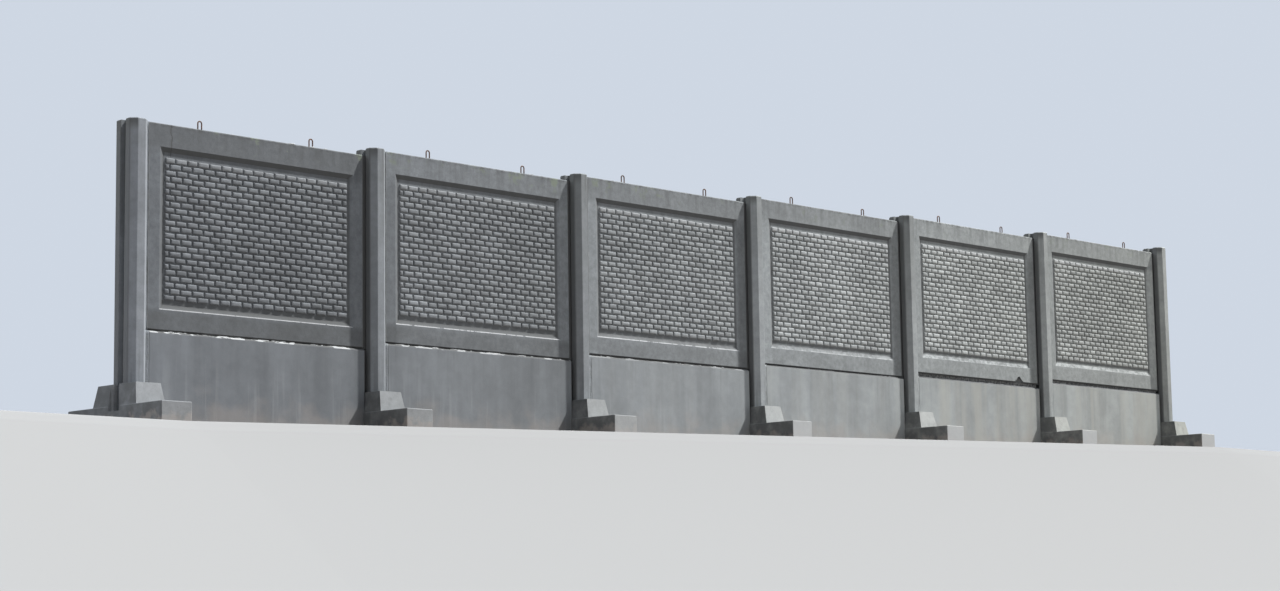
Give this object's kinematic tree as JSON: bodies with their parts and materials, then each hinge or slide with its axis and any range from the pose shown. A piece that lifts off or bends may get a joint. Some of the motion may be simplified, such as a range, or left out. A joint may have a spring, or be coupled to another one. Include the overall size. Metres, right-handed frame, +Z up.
{
  "type": "precast concrete wall",
  "caption": "Free-standing stepped run of precast concrete wall: slotted posts in stepped socket footings hold plain plinth panels and, on mortar beds, coffered brick-relief panels with lifting loops.",
  "frame": {"origin": "centre of the run in plan, at the underside of the footings, under footing_4", "axes": "+X along the wall towards its high end, -Y out of the coffered front, +Z up"},
  "size_m": [18.35, 1.56, 3.4999],
  "materials": {
    "post_concrete": "matt cast concrete, weathered",
    "footing_concrete": "matt cast concrete, soiled low down",
    "plinth_concrete": "matt cast concrete with drip streaks and soil",
    "panel_concrete": "matt cast concrete, weathered, with cast brick relief",
    "bed_mortar": "rough mortar, set back in the seam",
    "loop_steel": "plain bar, rusted"
  },
  "bodies": {
    "root": {"post_1": "post_concrete", "post_2": "post_concrete", "post_3": "post_concrete", "post_4": "post_concrete", "post_5": "post_concrete", "post_6": "post_concrete", "post_7": "post_concrete", "footing_1": "footing_concrete", "footing_2": "footing_concrete", "footing_3": "footing_concrete", "footing_4": "footing_concrete", "footing_5": "footing_concrete", "footing_6": "footing_concrete", "footing_7": "footing_concrete", "plinth_panel_1": "plinth_concrete", "plinth_panel_2": "plinth_concrete", "plinth_panel_3": "plinth_concrete", "plinth_panel_4": "plinth_concrete", "plinth_panel_5": "plinth_concrete", "plinth_panel_6": "plinth_concrete", "upper_panel_1": "panel_concrete", "upper_panel_2": "panel_concrete", "upper_panel_3": "panel_concrete", "upper_panel_4": "panel_concrete", "upper_panel_5": "panel_concrete", "upper_panel_6": "panel_concrete", "mortar_bed_1": "bed_mortar", "mortar_bed_2": "bed_mortar", "mortar_bed_3": "bed_mortar", "mortar_bed_4": "bed_mortar", "mortar_bed_5": "bed_mortar", "mortar_bed_6": "bed_mortar", "lifting_loops_1": "loop_steel", "lifting_loops_2": "loop_steel", "lifting_loops_3": "loop_steel", "lifting_loops_4": "loop_steel", "lifting_loops_5": "loop_steel", "lifting_loops_6": "loop_steel"}
  },
  "joints": []
}
